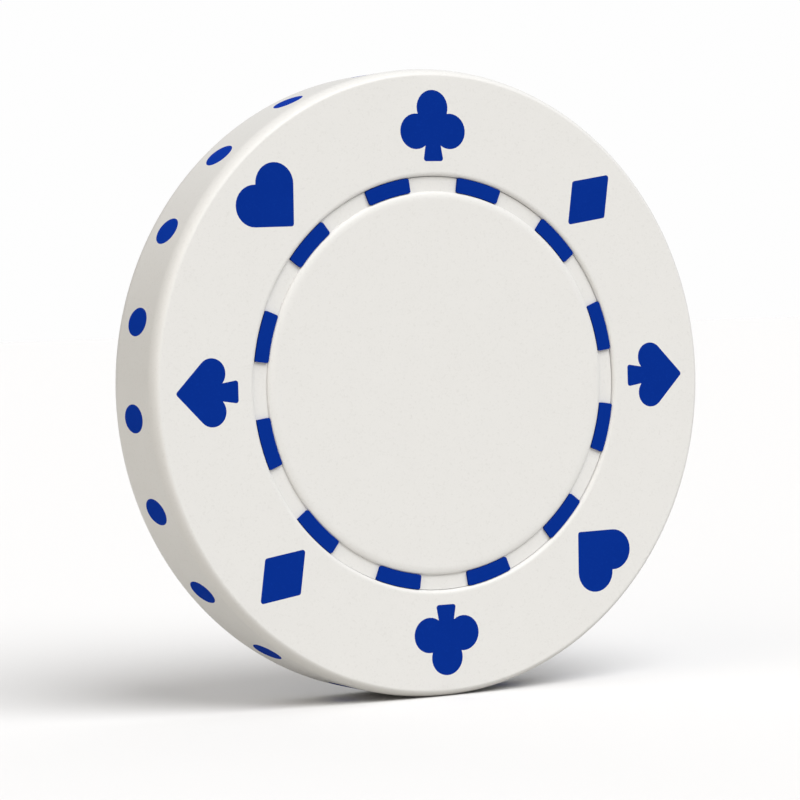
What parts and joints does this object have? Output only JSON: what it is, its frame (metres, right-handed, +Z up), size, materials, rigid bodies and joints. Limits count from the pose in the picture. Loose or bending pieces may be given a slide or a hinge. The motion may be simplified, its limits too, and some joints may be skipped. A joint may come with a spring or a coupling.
{
  "type": "casino chip",
  "caption": "Round white gaming chip with blue card-suit inlays, dashes in a ring groove, rim plugs and a hidden steel slug; a counter for table games.",
  "frame": {"origin": "centre of the chip, halfway through its thickness", "axes": "chip stands on its rim: its axis lies along Y, the front face looks along -Y, +Z is up"},
  "size_m": [0.04, 0.0062, 0.04],
  "materials": {
    "chip_white": "satin moulded composite",
    "chip_blue": "satin moulded composite",
    "slug_steel": "plain stamped steel"
  },
  "bodies": {
    "root": {"outer_ring": "chip_white", "front_centre_cap": "chip_white", "back_centre_cap": "chip_white", "weight_slug": "slug_steel", "rim_plugs": "chip_blue", "front_club_1": "chip_blue", "front_diamond_1": "chip_blue", "front_spade_1": "chip_blue", "front_heart_1": "chip_blue", "front_club_2": "chip_blue", "front_diamond_2": "chip_blue", "front_spade_2": "chip_blue", "front_heart_2": "chip_blue", "back_club_1": "chip_blue", "back_diamond_1": "chip_blue", "back_spade_1": "chip_blue", "back_heart_1": "chip_blue", "back_club_2": "chip_blue", "back_diamond_2": "chip_blue", "back_spade_2": "chip_blue", "back_heart_2": "chip_blue", "front_dash_1": "chip_blue", "front_dash_2": "chip_blue", "front_dash_3": "chip_blue", "front_dash_4": "chip_blue", "front_dash_5": "chip_blue", "front_dash_6": "chip_blue", "front_dash_7": "chip_blue", "front_dash_8": "chip_blue", "front_dash_9": "chip_blue", "front_dash_10": "chip_blue", "front_dash_11": "chip_blue", "front_dash_12": "chip_blue", "back_dash_1": "chip_blue", "back_dash_2": "chip_blue", "back_dash_3": "chip_blue", "back_dash_4": "chip_blue", "back_dash_5": "chip_blue", "back_dash_6": "chip_blue", "back_dash_7": "chip_blue", "back_dash_8": "chip_blue", "back_dash_9": "chip_blue", "back_dash_10": "chip_blue", "back_dash_11": "chip_blue", "back_dash_12": "chip_blue"}
  },
  "joints": []
}
